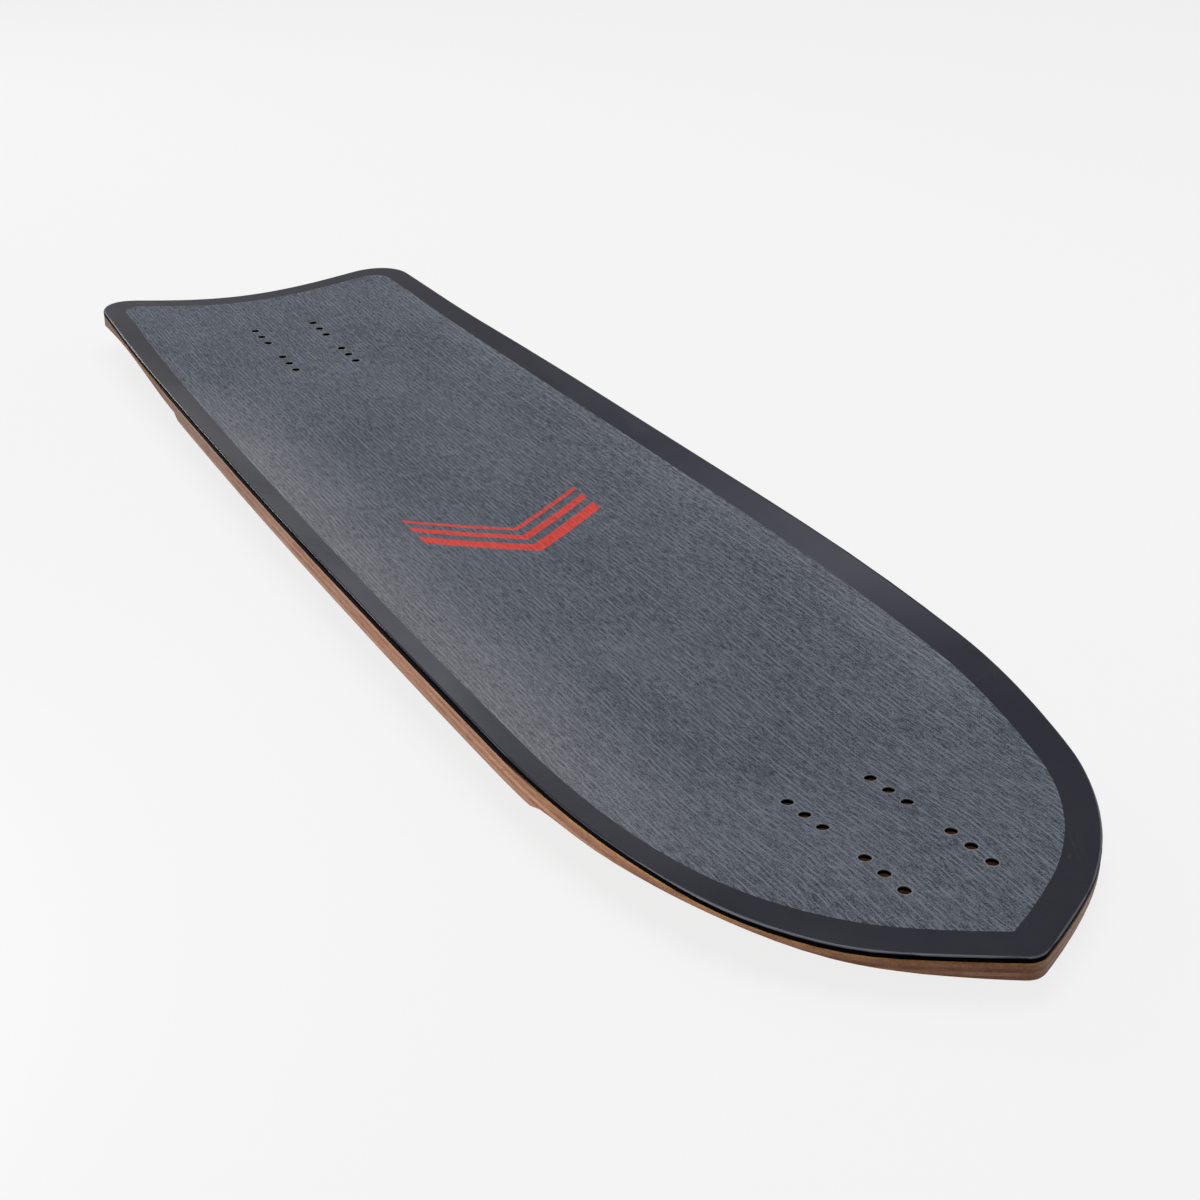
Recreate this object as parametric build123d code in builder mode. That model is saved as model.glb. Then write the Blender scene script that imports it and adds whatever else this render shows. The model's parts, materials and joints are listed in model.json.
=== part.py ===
"""A bare longboard deck: wood plies and two glass layers pressed into one concave shell, with a
grip panel let into a smooth black border. Millimetres, nose towards +X, +Z up, and the origin
under the middle of the deck's outline, on the plane that it lies on."""

import os

import numpy as np
from build123d import *

# Driving dimensions. A station is a distance along the deck from the middle of the wheelbase,
# positive towards the nose.
wheelbase = 660.4
nose_overhang = 94.7
tail_overhang = 116.2
deck_width = 242.0
tail_width = 218.6
widest_station = 90.0
nose_tip_radius = 11.0
tail_bulge = 2.4
tail_corner_radius = 31.0

# The layers, from the standing side down.
grip_thickness = 0.5
face_ply_thickness = 1.5
glass_thickness = 0.3
upper_ply_thickness = 1.0
core_ply_thickness = 1.6
base_veneer_thickness = 0.8

border_width = 14.8
top_edge_radius = 1.2
bottom_edge_radius = 2.0

# Truck bolts: a rectangle of four, drilled at several positions along the deck.
bolt_length_spacing = 53.975
bolt_width_spacing = 41.275
bolt_position_step = 12.7
bolt_position_count = 3
bolt_hole_diameter = 5.5

front_truck = wheelbase / 2
rear_truck = -wheelbase / 2
nose_end = front_truck + nose_overhang
tail_end = rear_truck - tail_overhang
half_width = deck_width / 2

# The rail from its widest station to the nose: station, and inset from the half width.
rail_points = [
    (front_truck - 109.0, 2.8),
    (front_truck - 8.0, 20.2),
    (front_truck + 69.0, 76.6),
]

# The mould's cross-sections: station, height at the centre line, rise at the reference half
# width, and flare. Flare above zero flattens the rails, below zero it steepens them.
section_half_width = 120.0
mould_sections = [
    (tail_end, 3.4, 12.1, 0.6),
    (rear_truck - 60.0, 1.8, 12.1, 0.6),
    (rear_truck, 0.0, 12.8, 0.1),
    (rear_truck + 80.0, -2.4, 15.7, -0.4),
    (-60.0, -4.7, 17.1, -0.5),
    (front_truck - 130.0, -6.0, 18.3, -0.5),
    (front_truck - 70.0, -5.9, 17.0, -0.5),
    (front_truck - 30.0, -3.3, 14.6, -0.8),
    (front_truck, 0.0, 10.5, -1.0),
    (front_truck + 30.0, 1.6, 1.0, -0.7),
    (front_truck + 60.0, 1.4, -7.0, 0.0),
    (nose_end, 0.0, -8.75, 0.0),
]

# Wheel wells, cut into the underside along the rail: station, depth at the rail, and reach
# inboard of it. The front pair runs on into a bevel that goes round the nose.
rear_well = [
    (rear_truck - 98.0, 2.0, 34.0),
    (rear_truck - 60.0, 5.6, 42.0),
    (rear_truck - 20.0, 7.7, 42.0),
    (rear_truck + 40.0, 5.8, 42.0),
    (rear_truck + 91.0, 4.0, 36.0),
]
front_well = [
    (front_truck - 76.0, 3.1, 36.0),
    (front_truck - 50.0, 4.6, 42.0),
    (front_truck - 20.0, 6.0, 42.0),
    (front_truck + 12.0, 7.9, 38.0),
    (front_truck + 40.0, 7.5, 32.0),
    (front_truck + 60.0, 5.9, 26.0),
    (front_truck + 74.0, 4.2, 20.0),
]
nose_bevel = [
    front_well[-1],
    (front_truck + 83.0, 3.3, 17.0),
    (front_truck + 91.0, 2.6, 14.0),
    (nose_end, 2.3, 12.0),
]
well_overcut = 12.0
well_runout = 10.0
well_runout_depth = -0.4


def through(stations, values, at):
    """The natural cubic curve through the values at the stations, at any other station."""
    x = np.array(stations, float)
    v = np.array(values, float)
    gap = np.diff(x)
    slope = np.diff(v) / gap
    system = np.eye(len(x))
    bend = np.zeros(len(x))
    for i in range(1, len(x) - 1):
        system[i, i - 1 : i + 2] = gap[i - 1], 2 * (gap[i - 1] + gap[i]), gap[i]
        bend[i] = 6 * (slope[i] - slope[i - 1])
    bend = np.linalg.solve(system, bend)
    i = np.clip(np.searchsorted(x, at) - 1, 0, len(gap) - 1)
    left = at - x[i]
    right = x[i + 1] - at
    cubic = (bend[i] * right**3 + bend[i + 1] * left**3) / (6 * gap[i])
    rising = (v[i + 1] / gap[i] - bend[i + 1] * gap[i] / 6) * left
    falling = (v[i] / gap[i] - bend[i] * gap[i] / 6) * right
    return cubic + rising + falling


def mould_height(station, y):
    """Height of the standing surface: the centre line, plus a rise that grows as y² and y⁴."""
    stations, centre, rise, flare = zip(*mould_sections)
    c = through(stations, centre, station)
    a = through(stations, rise, station)
    f = through(stations, flare, station)
    u = (y / section_half_width) ** 2
    return c + a * ((1 + f) * u - f * u**2)


def layer_height(station, y, depth):
    """Height of the surface at a depth under the standing surface, measured square to it."""
    step = 0.5
    along = (mould_height(station + step, y) - mould_height(station - step, y)) / (2 * step)
    across = (mould_height(station, y + step) - mould_height(station, y - step)) / (2 * step)
    return mould_height(station, y) - depth * np.sqrt(1 + along**2 + across**2)


# The outline, in stations. The rails are arcs that run into each other from the widest station
# to the nose, and one long arc back to the tail, whose end is a flat arc.
with BuildSketch() as outline:
    with BuildLine() as rail:
        widest = (widest_station, half_width)
        tangent = (1, 0)
        start = widest
        for station, inset in rail_points + [(nose_end, half_width)]:
            end = (station, half_width - inset)
            arc = TangentArc(start, end, tangent=tangent)
            tangent = arc % 1
            start = end
        tail_corner = (tail_end + tail_bulge, tail_width / 2)
        TangentArc(widest, tail_corner, tangent=(-1, 0))
        rail_edges = rail.edges()
        TangentArc((tail_end, 0), tail_corner, tangent=(0, 1))
        Line((tail_end, 0), (nose_end, 0))
    make_face()
    mirror(about=Plane.XZ)
    tip = outline.vertices().sort_by(Axis.X)[-1]
    fillet(tip, nose_tip_radius)
    tail_corners = outline.vertices().filter_by_position(
        Axis.X, tail_end + tail_bulge / 2, tail_end + 2 * tail_bulge
    )
    fillet(tail_corners, tail_corner_radius)

# The grip panel's outline lies inside it. The inset is drawn again as plain lines and arcs.
with BuildSketch() as inset:
    add(outline.sketch)
    offset(amount=-border_width, kind=Kind.INTERSECTION, mode=Mode.REPLACE)

with BuildSketch() as panel_outline:
    with BuildLine():
        for edge in inset.edges():
            if edge.geom_type == GeomType.LINE:
                Line(edge @ 0, edge @ 1)
            else:
                ThreePointArc(edge @ 0, edge @ 0.5, edge @ 1)
    make_face()

# Depths of the surfaces between the layers, from the standing side down.
layer_thicknesses = {
    "grip": grip_thickness,
    "face_ply": face_ply_thickness,
    "upper_glass": glass_thickness,
    "upper_ply": upper_ply_thickness,
    "core_ply_1": core_ply_thickness,
    "core_ply_2": core_ply_thickness,
    "core_ply_3": core_ply_thickness,
    "core_ply_4": core_ply_thickness,
    "core_ply_5": core_ply_thickness,
    "lower_glass": glass_thickness,
    "base_veneer": base_veneer_thickness,
}
layer_depths = np.cumsum(list(layer_thicknesses.values()))
deck_thickness = layer_depths[-1]

middle_station = outline.sketch.bounding_box().center().X
tip_station = outline.sketch.bounding_box().max.X
centre_line = np.linspace(tail_end, nose_end, 400)
lift = -layer_height(centre_line, 0.0, deck_thickness).min()
blank_height = 100.0
deck_plane = Plane((-middle_station, 0, lift - blank_height / 2))


def pressed_surface(depth):
    """The mould's surface at a depth under the standing side, a little larger than the deck."""
    margin = 15.0
    stations = np.linspace(tail_end - margin, nose_end + margin, 46)
    widths = np.linspace(-half_width - margin, half_width + margin, 9)
    station, y = np.meshgrid(stations, widths, indexing="ij")
    z = layer_height(station, y, depth) + lift
    rows = np.stack([station - middle_station, y, z], axis=-1)
    points = [[Vector(*point) for point in row] for row in rows.tolist()]
    return Face.make_surface_from_array_of_points(points, tol=1e-3)


def rail_frame(station):
    """The rail at a station: its point, the way outboard, and the way along it to the nose."""
    if station >= tip_station:
        return Vector(tip_station, 0), Vector(1, 0), Vector(0, -1)
    for edge in rail_edges:
        ends = sorted((edge @ 0, edge @ 1), key=lambda end: end.X)
        if ends[0].X <= station <= ends[1].X:
            cut = edge.intersect(Plane((station, 0, 0), z_dir=(1, 0, 0)))
            point = cut.vertices()[0].center()
            tangent = edge.tangent_at(point)
            if tangent.X < 0:
                tangent = -tangent
            outboard = Vector(-tangent.Y, tangent.X)
            return point, outboard, tangent


def well_section(station, depth, reach):
    """The closed profile of a wheel well's cutter. It rises from the underside to the rail,
    steeply at first, and is closed well outboard of the rail and well under the deck."""
    point, outboard, tangent = rail_frame(station)
    place = Plane(
        (point.X - middle_station, point.Y, lift),
        x_dir=(outboard.X, outboard.Y, 0),
        z_dir=(tangent.X, tangent.Y, 0),
    )
    steps = np.linspace(0, 1 + well_overcut / reach, 6)
    offsets = (steps - 1) * reach
    scoop = depth * steps * (1.6 - 0.6 * steps)
    stations = point.X + offsets * outboard.X
    widths = point.Y + offsets * outboard.Y
    heights = layer_height(stations, widths, deck_thickness) + scoop
    with BuildSketch(place) as section:
        with BuildLine():
            roof = Spline(*zip(offsets.tolist(), heights.tolist()))
            Polyline(
                roof @ 1,
                (well_overcut, -blank_height / 2),
                (-reach, -blank_height / 2),
                roof @ 0,
            )
        make_face()
    return section.sketch


# The pressed blank, cut to its outline, with rounded edges.
with BuildPart() as blank:
    with BuildSketch(deck_plane):
        add(outline.sketch)
    extrude(amount=blank_height)
    for depth, kept in ((0.0, 0), (deck_thickness, -1)):
        split(bisect_by=pressed_surface(depth), keep=Keep.ALL)
        add(blank.solids().sort_by(Axis.Z)[kept], mode=Mode.REPLACE)
    standing_side = blank.faces().sort_by(SortBy.AREA)[-2:].sort_by(Axis.Z)[-1]
    fillet(standing_side.edges(), top_edge_radius)
    underside = blank.faces().sort_by(SortBy.AREA)[-2:].sort_by(Axis.Z)[0]
    fillet(underside.edges(), bottom_edge_radius)

# What the wheel wells and the bevel take away, on both sides. A well's open ends run out to just
# under the underside.
with BuildPart() as wells:
    for well, ends in ((rear_well, (0, -1)), (front_well, (0,))):
        sections = [well_section(*row) for row in well]
        loft(sections)
        for end in ends:
            station, _, reach = well[end]
            way = -1 if end == 0 else 1
            runout = well_section(station + way * well_runout, well_runout_depth, reach)
            loft([sections[end], runout], ruled=True)
    loft([well_section(*row) for row in nose_bevel])
    mirror(about=Plane.XZ)

# What the bolt holes take away.
with BuildPart() as bolt_holes:
    with BuildSketch(deck_plane):
        for truck in (front_truck, rear_truck):
            for i in range(bolt_position_count):
                shift = (i - (bolt_position_count - 1) / 2) * bolt_position_step
                with Locations((truck + shift, 0)):
                    with GridLocations(bolt_length_spacing, bolt_width_spacing, 2, 2):
                        Circle(bolt_hole_diameter / 2)
    extrude(amount=blank_height)

os.makedirs("parts", exist_ok=True)

# The layers, each the part of the blank between two of the mould's surfaces.
layers = {}
below = blank.part
for layer, depth in zip(layer_thicknesses, layer_depths):
    with BuildPart() as slab:
        add(below)
        if depth < deck_thickness:
            split(bisect_by=pressed_surface(depth), keep=Keep.ALL)
            below = slab.solids().sort_by(Axis.Z)[0]
            add(slab.solids().sort_by(Axis.Z)[-1], mode=Mode.REPLACE)
    layers[layer] = slab.part

# The top layer is the grip panel in the middle and the smooth border round it.
grip_layer = layers.pop("grip")

with BuildPart() as grip_panel:
    add(grip_layer)
    with BuildSketch(deck_plane):
        add(panel_outline.sketch)
    extrude(amount=blank_height, mode=Mode.INTERSECT)
    add(bolt_holes.part, mode=Mode.SUBTRACT)
grip_panel.part.label = "grip_panel"
export_step(grip_panel.part, "parts/grip_panel.step")

with BuildPart() as border_band:
    add(grip_layer)
    with BuildSketch(deck_plane):
        add(panel_outline.sketch)
    extrude(amount=blank_height, mode=Mode.SUBTRACT)
border_band.part.label = "border_band"
export_step(border_band.part, "parts/border_band.step")

# The plies and glass layers under it.
for layer, slab_part in layers.items():
    with BuildPart() as ply:
        add(slab_part)
        add(wells.part, mode=Mode.SUBTRACT)
        add(bolt_holes.part, mode=Mode.SUBTRACT)
    ply.part.label = layer
    export_step(ply.part, f"parts/{layer}.step")
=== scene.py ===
"""The looks of a bare longboard deck: oiled wood plies and glass layers pressed into one shell,
black-stained at the top, with a grip panel set into a smooth black border."""

import json
import math

import bpy
from mathutils import Matrix, Vector

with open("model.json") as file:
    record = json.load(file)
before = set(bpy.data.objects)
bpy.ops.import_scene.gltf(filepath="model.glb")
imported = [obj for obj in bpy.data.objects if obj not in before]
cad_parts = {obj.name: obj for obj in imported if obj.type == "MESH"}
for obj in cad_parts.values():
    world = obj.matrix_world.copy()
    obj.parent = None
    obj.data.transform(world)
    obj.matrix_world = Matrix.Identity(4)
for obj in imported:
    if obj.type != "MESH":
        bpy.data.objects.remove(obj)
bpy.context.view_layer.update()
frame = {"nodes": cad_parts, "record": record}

# The base veneer is the deck's underside: a dark walnut sheet with its grain lengthwise, glued
# on in the press and sanded to a thin edge round the wells, then oiled.


def put(tree, kind, inputs=(), **settings):
    """Adds a node to a tree, with its settings, and with its inputs given as values or links."""
    node = tree.nodes.new(kind)
    for name, value in settings.items():
        setattr(node, name, value)
    for name, value in dict(inputs).items():
        if isinstance(value, bpy.types.NodeSocket):
            tree.links.new(value, node.inputs[name])
        else:
            node.inputs[name].default_value = value
    return node


def calc(tree, operation, *terms):
    """One sum on numbers or sockets, as an output socket."""
    return put(tree, "ShaderNodeMath", enumerate(terms), operation=operation).outputs[0]


def times(tree, first, second):
    """The product of two numbers or sockets."""
    return calc(tree, "MULTIPLY", first, second)


def away(tree, value, middle):
    """How far a value is from a middle one, on either side."""
    return calc(tree, "ABSOLUTE", calc(tree, "SUBTRACT", value, middle))


def sway(tree, field, gain, base):
    """A base value moved up and down by a noise from 0 to 1, times a gain."""
    return calc(tree, "MULTIPLY_ADD", calc(tree, "SUBTRACT", field, 0.5), gain, base)


def axes(tree, place):
    """The X, Y and Z of a vector."""
    return tuple(put(tree, "ShaderNodeSeparateXYZ", {"Vector": place}).outputs)


def noise(tree, place, lumps, detail=2.0, roughness=0.5):
    """Soft noise from 0 to 1, at so many lumps a metre, either one number or one for each axis."""
    if isinstance(lumps, tuple):
        inputs = {0: place, 1: lumps}
        place = put(tree, "ShaderNodeVectorMath", inputs, operation="MULTIPLY").outputs[0]
        lumps = 1.0
    inputs = {"Vector": place, "Scale": lumps, "Detail": detail, "Roughness": roughness}
    return put(tree, "ShaderNodeTexNoise", inputs).outputs["Fac"]


def ramp(tree, value, low, high, to_low=0.0, to_high=1.0):
    """A value between two limits, carried smoothly over to two others and held past them."""
    limits = {"From Min": low, "From Max": high, "To Min": to_low, "To Max": to_high}
    inputs = {"Value": value, **limits}
    return put(tree, "ShaderNodeMapRange", inputs, interpolation_type="SMOOTHSTEP").outputs[0]


def blend(tree, mask, first, second):
    """Two colours mixed by a mask, from the first at 0 to the second at 1."""
    first, second = (c + (1,) if isinstance(c, tuple) else c for c in (first, second))
    inputs = {0: mask, 6: first, 7: second}
    return put(tree, "ShaderNodeMix", inputs, data_type="RGBA").outputs[2]


def effect(name):
    """A node group that takes a place. Gives the group and that place."""
    tree = bpy.data.node_groups.new(name, "ShaderNodeTree")
    tree.interface.new_socket(name="Place", in_out="INPUT", socket_type="NodeSocketVector")
    return tree, tree.nodes.new("NodeGroupInput").outputs["Place"]


def give(tree, **results):
    """Names the results that a node group gives."""
    for label in results:
        tree.interface.new_socket(name=label, in_out="OUTPUT", socket_type="NodeSocketFloat")
    made = tree.nodes.new("NodeGroupOutput")
    for label, socket in results.items():
        tree.links.new(socket, made.inputs[label])


def use(tree, group, place):
    """A node group's results at a place, by name."""
    return put(tree, "ShaderNodeGroup", {"Place": place}, node_tree=group).outputs


# Grain runs along the group's X: broad figure, fine fibres, and short open pores, each a noise
# drawn out along the fibres.
wood_grain, place = effect("wood grain")
drift = noise(wood_grain, place, (3.0, 9.0, 9.0))
lean = put(wood_grain, "ShaderNodeCombineXYZ", {"Y": times(wood_grain, drift, 0.03)}).outputs[0]
place = put(wood_grain, "ShaderNodeVectorMath", {0: place, 1: lean}, operation="ADD").outputs[0]
figure = noise(wood_grain, place, (5.0, 110.0, 110.0), 3.0, 0.55)
fibre = noise(wood_grain, place, (45.0, 1500.0, 1500.0), 3.0, 0.6)
pores = ramp(wood_grain, noise(wood_grain, place, (160.0, 2600.0, 2600.0), 1.0), 0.64, 0.74)
height = calc(wood_grain, "SUBTRACT", fibre, pores)
give(wood_grain, Figure=figure, Fibre=fibre, Pores=pores, Height=height)

# Handling leaves soft smudges that dull or polish the finish, a little dust, and hairline
# scratches that run any way.
handling, place = effect("handling")
smudge = ramp(handling, noise(handling, place, 14.0, 4.0, 0.55), 0.35, 0.7)
dust = ramp(handling, noise(handling, place, 2400.0, 1.0), 0.74, 0.82)
scratches = []
for heading, breadth in ((0.5, 0.006), (-0.9, 0.005)):
    inputs = {"Vector": place, "Angle": heading}
    turned = put(handling, "ShaderNodeVectorRotate", inputs, rotation_type="Z_AXIS").outputs[0]
    lines = noise(handling, turned, (9.0, 900.0, 300.0), 0.0)
    here = ramp(handling, noise(handling, turned, 30.0, 1.0), 0.58, 0.66)
    scratches.append(times(handling, calc(handling, "COMPARE", lines, 0.5, breadth), here))
give(handling, Smudge=smudge, Dust=dust, Scratch=calc(handling, "MAXIMUM", *scratches))


def finish(name, **constants):
    """A material with one Principled shader, its constant values set on the shader's sockets.
    Gives the material, its tree, its shader and the place of each point in metres."""
    material = bpy.data.materials.new(name)
    material.use_nodes = True
    tree = material.node_tree
    shader = tree.nodes["Principled BSDF"]
    for label, value in constants.items():
        shader.inputs[label.replace("_", " ")].default_value = value
    return material, tree, shader, tree.nodes.new("ShaderNodeTexCoord").outputs["Object"]


def relief(tree, shader, height, depth, strength=1.0):
    """Bumps a shader's surface by a height from 0 to 1, of a real depth in metres."""
    inputs = {"Height": height, "Distance": depth, "Strength": strength}
    bump = put(tree, "ShaderNodeBump", inputs)
    tree.links.new(bump.outputs["Normal"], shader.inputs["Normal"])


def dress(node, material):
    """Gives a CAD node its material."""
    mesh = frame["nodes"][node].data
    mesh.materials.clear()
    mesh.materials.append(material)


def wood(name, dark, light, crosswise=False, shift=0.0, rough=0.5, gloss=0.3, depth=0.00004):
    """An oiled wood: its grain runs along the deck, or across it, between two colours."""
    material, tree, shader, place = finish(name, IOR=1.45, Specular_IOR_Level=gloss)
    turn = math.pi / 2 if crosswise else 0.0
    inputs = {"Vector": place, "Location": (shift, shift, 0), "Rotation": (0, 0, turn)}
    grain = use(tree, wood_grain, put(tree, "ShaderNodeMapping", inputs).outputs[0])
    marks = use(tree, handling, place)
    tone = calc(tree, "MULTIPLY_ADD", grain["Fibre"], 0.5, times(tree, grain["Figure"], 0.6))
    deep = tuple(c * 0.45 for c in dark)
    colour = blend(tree, ramp(tree, tone, 0.35, 0.75), dark, light)
    colour = blend(tree, times(tree, grain["Pores"], 0.7), colour, deep)
    colour = blend(tree, times(tree, marks["Smudge"], 0.12), colour, deep)
    tree.links.new(colour, shader.inputs["Base Color"])
    dulled = ramp(tree, marks["Smudge"], 0, 1, rough, rough + 0.12)
    tree.links.new(dulled, shader.inputs["Roughness"])
    relief(tree, shader, grain["Height"], depth)
    return material


dress("base_veneer", wood("walnut", (0.052, 0.022, 0.012), (0.115, 0.052, 0.03), rough=0.42))

# Two glass layers stiffen the deck, each a woven cloth soaked in resin. Only their cut edges
# show: the lower one as a thin brown line on the rail.
glass_cloth, place = effect("glass cloth")
give(glass_cloth, Threads=noise(glass_cloth, place, (900.0, 900.0, 200.0)))


def glass(name, gloss):
    """A glass layer with its cloth in relief and no colour yet, as finish gives it, and the
    cloth's threads."""
    material, tree, shader, place = finish(name, Roughness=0.35, Specular_IOR_Level=gloss)
    threads = use(tree, glass_cloth, place)["Threads"]
    relief(tree, shader, threads, 0.00003)
    return material, tree, shader, place, threads


lower_glass, tree, shader, place, threads = glass("glass laminate", 0.4)
brown = blend(tree, threads, (0.07, 0.035, 0.022), (0.17, 0.09, 0.055))
tree.links.new(brown, shader.inputs["Base Color"])
dress("lower_glass", lower_glass)

# Five maple plies are the core, with the second and fourth laid crosswise. On the rail, they
# show as tan and red-brown lines, sanded flush and oiled.
maple_tones = [
    ((0.210, 0.090, 0.046), (0.370, 0.190, 0.110)),
    ((0.150, 0.055, 0.026), (0.290, 0.130, 0.068)),
    ((0.220, 0.100, 0.052), (0.380, 0.200, 0.118)),
    ((0.155, 0.060, 0.028), (0.295, 0.135, 0.072)),
    ((0.215, 0.095, 0.049), (0.365, 0.185, 0.108)),
]
for i, (dark, light) in enumerate(maple_tones):
    maple = wood(f"maple {i + 1}", dark, light, crosswise=i % 2 == 1, shift=0.13 * i, rough=0.45)
    dress(f"core_ply_{i + 1}", maple)

# The ply over the core is maple too, but the black sealer covers its edge amidships. Its wood
# shows in the bolt holes, and where the sealer fades out towards the ends of the rail.
sealer_gloss = 0.006
sealer_fades = 0.235
sealer_gone = 0.285
sealer_black = (0.0016, 0.0016, 0.002)

# How far a place is from the axis of the nearest bolt hole, in metres, and a mask of the holes.
# They lie in threes on four rows, the same at each end, as the record's bolt patterns say.
hole_radius = 0.00275
hole_step = 0.0127
truck_mounts = frame["record"]["mounts"]
front = max(m["pos_m"][0] for m in truck_mounts) - hole_step
rear = min(m["pos_m"][0] for m in truck_mounts) + hole_step
half_x = truck_mounts[0]["dims"]["spacing_x_mm"] / 2000
half_y = truck_mounts[0]["dims"]["spacing_y_mm"] / 2000
bolt_holes, place = effect("bolt holes")
x, y, z = axes(bolt_holes, place)
off_truck = calc(bolt_holes, "MINIMUM", away(bolt_holes, x, front), away(bolt_holes, x, rear))
off_row = away(bolt_holes, off_truck, half_x)
off_x = calc(bolt_holes, "MINIMUM", off_row, away(bolt_holes, off_row, hole_step))
off_y = away(bolt_holes, calc(bolt_holes, "ABSOLUTE", y), half_y)
squares = calc(bolt_holes, "MULTIPLY_ADD", off_x, off_x, times(bolt_holes, off_y, off_y))
apart = calc(bolt_holes, "SQRT", squares)
give(bolt_holes, Apart=apart, Drilled=ramp(bolt_holes, apart, 0.006, 0.009, 1.0, 0.0))

honey = ((0.26, 0.115, 0.04), (0.50, 0.26, 0.11))
upper_ply = wood("upper maple", *honey, crosswise=True, shift=0.7, gloss=sealer_gloss)
tree = upper_ply.node_tree
base_colour = tree.nodes["Principled BSDF"].inputs["Base Color"]
place = tree.nodes.new("ShaderNodeTexCoord").outputs["Object"]
from_middle = calc(tree, "ABSOLUTE", axes(tree, place)[0])
ends = ramp(tree, from_middle, sealer_fades, sealer_gone)
unsealed = calc(tree, "MAXIMUM", use(tree, bolt_holes, place)["Drilled"], ends)
bare_wood = base_colour.links[0].from_socket
tree.links.new(blend(tree, unsealed, sealer_black, bare_wood), base_colour)
dress("upper_ply", upper_ply)

# The upper glass layer is amber in the bolt holes, and black on the rail under the same matt
# sealer.
upper_glass, tree, shader, place, threads = glass("upper glass laminate", sealer_gloss)
amber = blend(tree, threads, (0.30, 0.13, 0.04), (0.55, 0.28, 0.10))
sealed = blend(tree, threads, (0.0015, 0.0015, 0.002), (0.004, 0.004, 0.005))
colour = blend(tree, use(tree, bolt_holes, place)["Drilled"], sealed, amber)
tree.links.new(colour, shader.inputs["Base Color"])
dress("upper_glass", upper_glass)

# The face ply is stained black right through, and its rounded edge is sealed. It carries the
# grip panel and the border.
stain = ((0.0012, 0.0012, 0.0016), (0.0035, 0.0035, 0.0045))
face_ply = wood("black stain", *stain, shift=0.3, rough=0.4, gloss=sealer_gloss, depth=0.00002)
dress("face_ply", face_ply)

# The border is a smooth black coat about 15 mm wide, satin, and thin enough for the grain
# under it to show through as a faint relief. Its rounded edge carries a pale painted highlight.
lacquer, tree, shader, place = finish("satin black coat", IOR=1.45, Specular_IOR_Level=0.34)
grain = use(tree, wood_grain, place)
marks = use(tree, handling, place)
peel = noise(tree, place, (260.0, 520.0, 520.0), 3.0, 0.6)
colour = blend(tree, grain["Figure"], (0.0110, 0.0115, 0.0215), (0.0150, 0.0155, 0.0270))
# Painted highlight: the coat is painted pale blue-grey on the rounded edge, where the normal tilts
# about 18 to 45 degrees from straight up.
facing_up = axes(tree, tree.nodes.new("ShaderNodeNewGeometry").outputs["Normal"])[2]
past_side = ramp(tree, facing_up, 0.70, 0.80)
short_of_top = ramp(tree, facing_up, 0.90, 0.95, 1.0, 0.0)
colour = blend(tree, times(tree, past_side, short_of_top), colour, (0.10, 0.105, 0.13))
colour = blend(tree, times(tree, marks["Dust"], 0.35), colour, (0.12, 0.12, 0.13))
colour = blend(tree, times(tree, marks["Scratch"], 0.25), colour, (0.10, 0.10, 0.11))
tree.links.new(colour, shader.inputs["Base Color"])
dulled = ramp(tree, marks["Smudge"], 0, 1, 0.26, 0.34)
tree.links.new(calc(tree, "MULTIPLY_ADD", peel, 0.06, dulled), shader.inputs["Roughness"])
relief(tree, shader, calc(tree, "MULTIPLY_ADD", grain["Fibre"], 0.35, peel), 0.00006, 0.8)
dress("border_band", lacquer)

# The grip panel is a blasted coat: thin lengthwise ridges about 2.6 mm apart, worn pale here and
# there, with streaks and fine grit between them.
ridge_pitch = 0.0026
wide_bend = 0.0030
tight_bend = 0.0014
coat, tree, shader, place = finish("grip coat", IOR=1.45, Specular_IOR_Level=0.2)
x, y, z = axes(tree, place)
bent_y = sway(tree, noise(tree, place, (9.0, 40.0, 1.0)), wide_bend, y)
bent_y = sway(tree, noise(tree, place, (75.0, 150.0, 1.0), 2.0, 0.6), tight_bend, bent_y)
bent = put(tree, "ShaderNodeCombineXYZ", {"X": x, "Y": bent_y}).outputs[0]
waves = calc(tree, "SINE", times(tree, bent_y, math.tau / ridge_pitch))
worn = ramp(tree, noise(tree, bent, (38.0, 230.0, 1.0), 3.0, 0.6), 0.38, 0.66)
ridges = times(tree, ramp(tree, waves, 0.2, 1.0), worn)
streaks = noise(tree, bent, (150.0, 1250.0, 1.0), 3.0, 0.7)
grit = noise(tree, place, 1500.0, 2.0, 0.7)
cloudy = noise(tree, place, (9.0, 16.0, 1.0), 3.0)
tone = calc(tree, "MULTIPLY_ADD", ridges, 0.5, sway(tree, streaks, 2.0, 0.45))
tone = sway(tree, grit, 1.8, tone)
tone = sway(tree, cloudy, 0.35, tone)
colour = blend(tree, ramp(tree, tone, 0.0, 1.0), (0.026, 0.031, 0.042), (0.163, 0.180, 0.220))

# Painted sheen: the coat is painted paler towards the right rail amidships, and a little
# along the left one.
right_rail = ramp(tree, y, -0.115, -0.030, 1.0, 0.0)
ahead_of_tail = ramp(tree, x, -0.33, -0.13)
behind_nose = ramp(tree, x, 0.21, 0.36, 1.0, 0.3)
left_rail = ramp(tree, y, 0.080, 0.106, 0.0, 0.25)
right = times(tree, times(tree, right_rail, ahead_of_tail), behind_nose)
rail_sheen = calc(tree, "MAXIMUM", right, left_rail)
rail_sheen = times(tree, rail_sheen, ramp(tree, tone, 0.0, 1.0, 0.16, 0.46))
# The painted sheen mixes a pale grey into the coat, most where its tone is lighter.
colour = blend(tree, rail_sheen, colour, (0.33, 0.33, 0.335))

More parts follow.
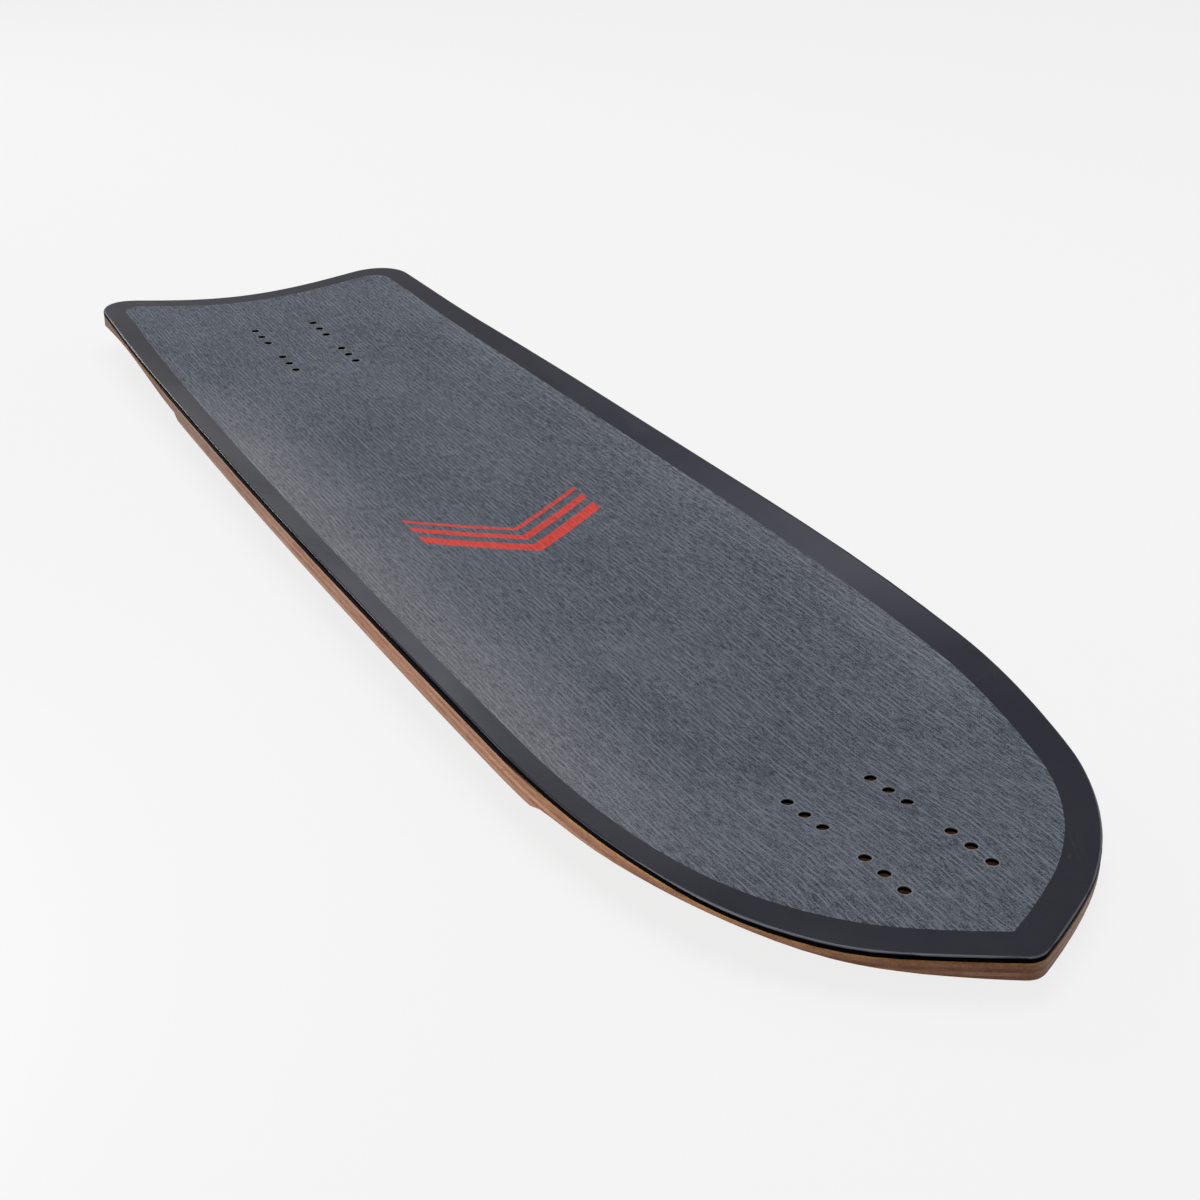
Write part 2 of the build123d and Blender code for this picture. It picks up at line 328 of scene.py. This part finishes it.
# A plain red print lies on the coat amidships: three chevrons that point to the nose. Each is
# so far behind the first one's tip, and so wide.
print_nose = 0.0357
print_reach = 0.052
chevron_slope = 0.62
chevrons = [(0.0, 0.009), (0.016, 0.006), (0.029, 0.0035)]
ink_edge = 0.0002
end_edge = 0.0003
side = calc(tree, "ABSOLUTE", y)
along = calc(tree, "MULTIPLY_ADD", side, chevron_slope, x)
inked = 0.0
for behind, width in chevrons:
    half = width / 2
    off_stripe = away(tree, along, print_nose - behind - half)
    stripe = ramp(tree, off_stripe, half - ink_edge, half + ink_edge, 1.0, 0.0)
    inked = calc(tree, "MAXIMUM", inked, stripe)
ends = ramp(tree, side, print_reach - end_edge, print_reach + end_edge, 1.0, 0.0)
inked = times(tree, times(tree, inked, ends), ramp(tree, tone, 0.1, 0.35, 0.72, 0.96))
red = blend(tree, ramp(tree, tone, 0.12, 0.72), (0.50, 0.035, 0.026), (0.72, 0.075, 0.055))
colour = blend(tree, inked, colour, red)

# Drilling leaves a pale rim at each bolt hole.
apart = use(tree, bolt_holes, place)["Apart"]
rim = ramp(tree, apart, hole_radius + 0.0003, hole_radius + 0.0007, 0.45, 0.0)
colour = blend(tree, rim, colour, (0.27, 0.27, 0.27))
tree.links.new(colour, shader.inputs["Base Color"])
tree.links.new(ramp(tree, streaks, 0.2, 0.8, 0.72, 0.9), shader.inputs["Roughness"])
rough_height = calc(tree, "MULTIPLY_ADD", streaks, 0.7, times(tree, grit, 0.5))
relief(tree, shader, calc(tree, "MULTIPLY_ADD", ridges, 0.3, rough_height), 0.00018)
dress("grip_panel", coat)

# The studio: a broad pale floor that keeps the deck's shadow, a surround that is brighter low
# down than overhead and dark off the right rail, and three soft lamps.
floor_size = 9.0
floor_drop = 0.0004
floor_mesh = bpy.data.meshes.new("floor")
corners = [(-1, -1), (1, -1), (1, 1), (-1, 1)]
corners = [(floor_size * x, floor_size * y, -floor_drop) for x, y in corners]
floor_mesh.from_pydata(corners, [], [(0, 1, 2, 3)])
floor = bpy.data.objects.new("floor", floor_mesh)
bpy.context.scene.collection.objects.link(floor)
paper, tree, shader, place = finish(
    "paper floor", Roughness=0.9, Specular_IOR_Level=0.0, Base_Color=(0.5, 0.5, 0.5, 1)
)
path = tree.nodes.new("ShaderNodeLightPath").outputs
bounced = calc(tree, "MAXIMUM", path["Is Glossy Ray"], path["Is Transmission Ray"])
seen = calc(tree, "MAXIMUM", path["Is Camera Ray"], bounced)
glow = put(tree, "ShaderNodeEmission", {"Color": (1, 1, 1, 1), "Strength": 1.0})
inputs = {0: times(tree, seen, 0.82), 1: shader.outputs[0], 2: glow.outputs[0]}
mixed = put(tree, "ShaderNodeMixShader", inputs)
tree.links.new(mixed.outputs[0], tree.nodes["Material Output"].inputs["Surface"])
floor_mesh.materials.append(paper)

world = bpy.data.worlds.new("studio")
bpy.context.scene.world = world
world.use_nodes = True
tree = world.node_tree
x, y, z = axes(tree, tree.nodes.new("ShaderNodeTexCoord").outputs["Generated"])
overhead = ramp(tree, z, 0.1, 0.6, 0.5, 0.3)
off_right_rail = ramp(tree, y, -0.85, -0.45, 0.1, 1.0)
background = tree.nodes["Background"].inputs
tree.links.new(times(tree, overhead, off_right_rail), background["Strength"])
background["Color"].default_value = (1, 1, 1, 1)


def lamp(name, at, aim, width, height, power):
    """A soft area lamp at one place, turned to face another."""
    data = bpy.data.lights.new(name, "AREA")
    data.shape = "RECTANGLE"
    data.size = width
    data.size_y = height
    data.energy = power
    light = bpy.data.objects.new(name, data)
    bpy.context.scene.collection.objects.link(light)
    turn = (Vector(aim) - Vector(at)).to_track_quat("-Z", "Y")
    light.matrix_world = Matrix.Translation(at) @ turn.to_matrix().to_4x4()


lamp("overhead", (-0.2, 0.1, 2.2), (0, 0, 0), 1.8, 1.4, 32)
lamp("tail strip", (-1.7, -0.35, 0.9), (0, 0, 0), 0.7, 0.2, 7)
lamp("rail side", (0.18, -0.55, 0.05), (0.12, -0.12, 0.015), 0.3, 0.06, 1.9)

# The camera looks down along the deck from in front of the nose, off to its right.
camera_at = (0.84846, -0.40423, 0.43054)
camera_right = Vector((0.47043, 0.88236, 0.01192))
camera_down = Vector((0.39371, -0.19778, -0.89771))
camera_ahead = Vector((-0.78974, 0.42700, -0.44043))
camera_data = bpy.data.cameras.new("camera")
camera_data.lens = 57.27
camera_data.sensor_width = 36.0
camera_data.clip_end = 100.0
camera = bpy.data.objects.new("camera", camera_data)
bpy.context.scene.collection.objects.link(camera)
turn = Matrix((camera_right, -camera_down, -camera_ahead)).transposed().to_4x4()
camera.matrix_world = Matrix.Translation(camera_at) @ turn
bpy.context.scene.camera = camera
bpy.context.scene.view_settings.view_transform = "Standard"
